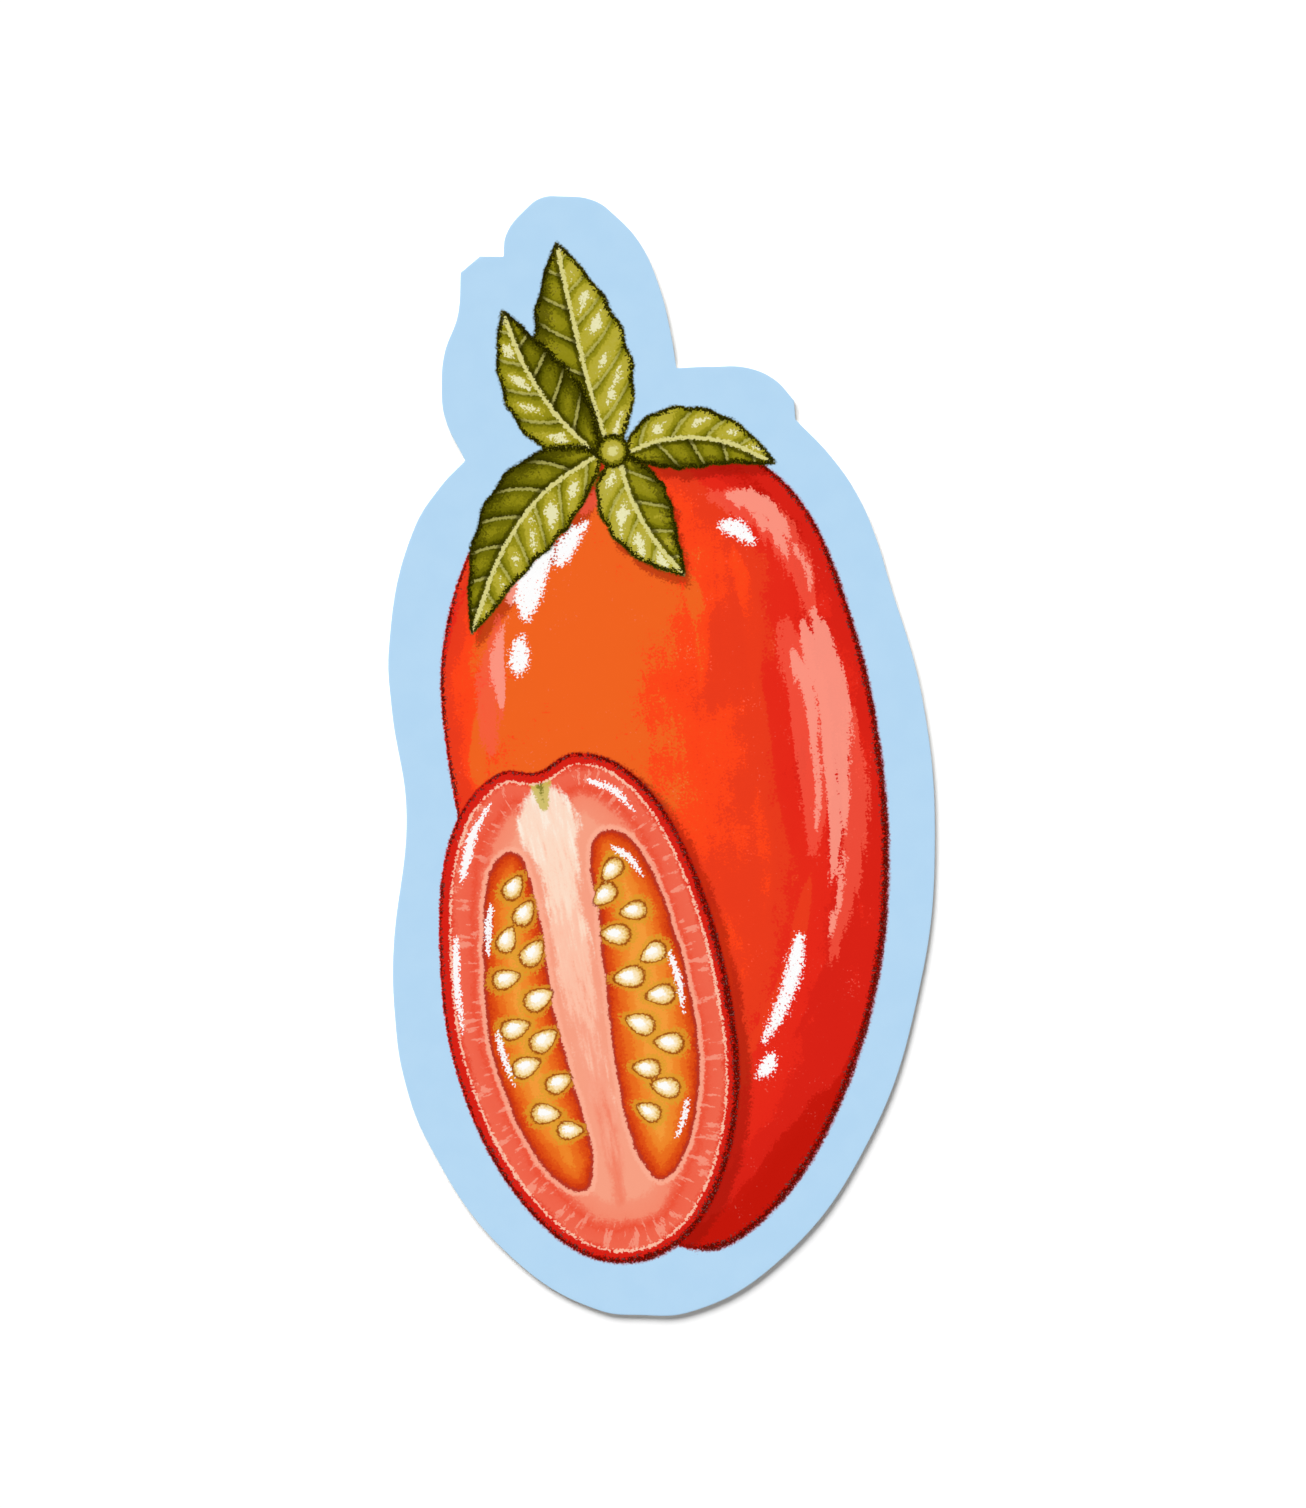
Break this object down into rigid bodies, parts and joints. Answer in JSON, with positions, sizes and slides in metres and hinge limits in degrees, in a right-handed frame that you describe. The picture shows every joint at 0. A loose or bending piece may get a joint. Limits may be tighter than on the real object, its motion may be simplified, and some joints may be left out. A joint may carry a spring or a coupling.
{
  "type": "die-cut sticker",
  "caption": "Die-cut vinyl sticker on its release liner, with a clear gloss laminate and a pale border round a print of plum tomatoes and basil.",
  "frame": {"origin": "on the surface that the liner lies on, under the middle of the sticker's outline", "axes": "+Z out of the printed face, +Y up the print along the sticker's height, +X to the print's right"},
  "size_m": [0.0372, 0.0763, 0.0004],
  "materials": {
    "liner_paper": "off-white siliconised paper, faint sheen",
    "printed_vinyl": "pale blue printed vinyl with red, orange and olive green inks, white core at the cut edge",
    "clear_laminate": "clear gloss"
  },
  "bodies": {
    "root": {"release_liner": "liner_paper", "vinyl_film": "printed_vinyl", "gloss_laminate": "clear_laminate"}
  },
  "joints": []
}
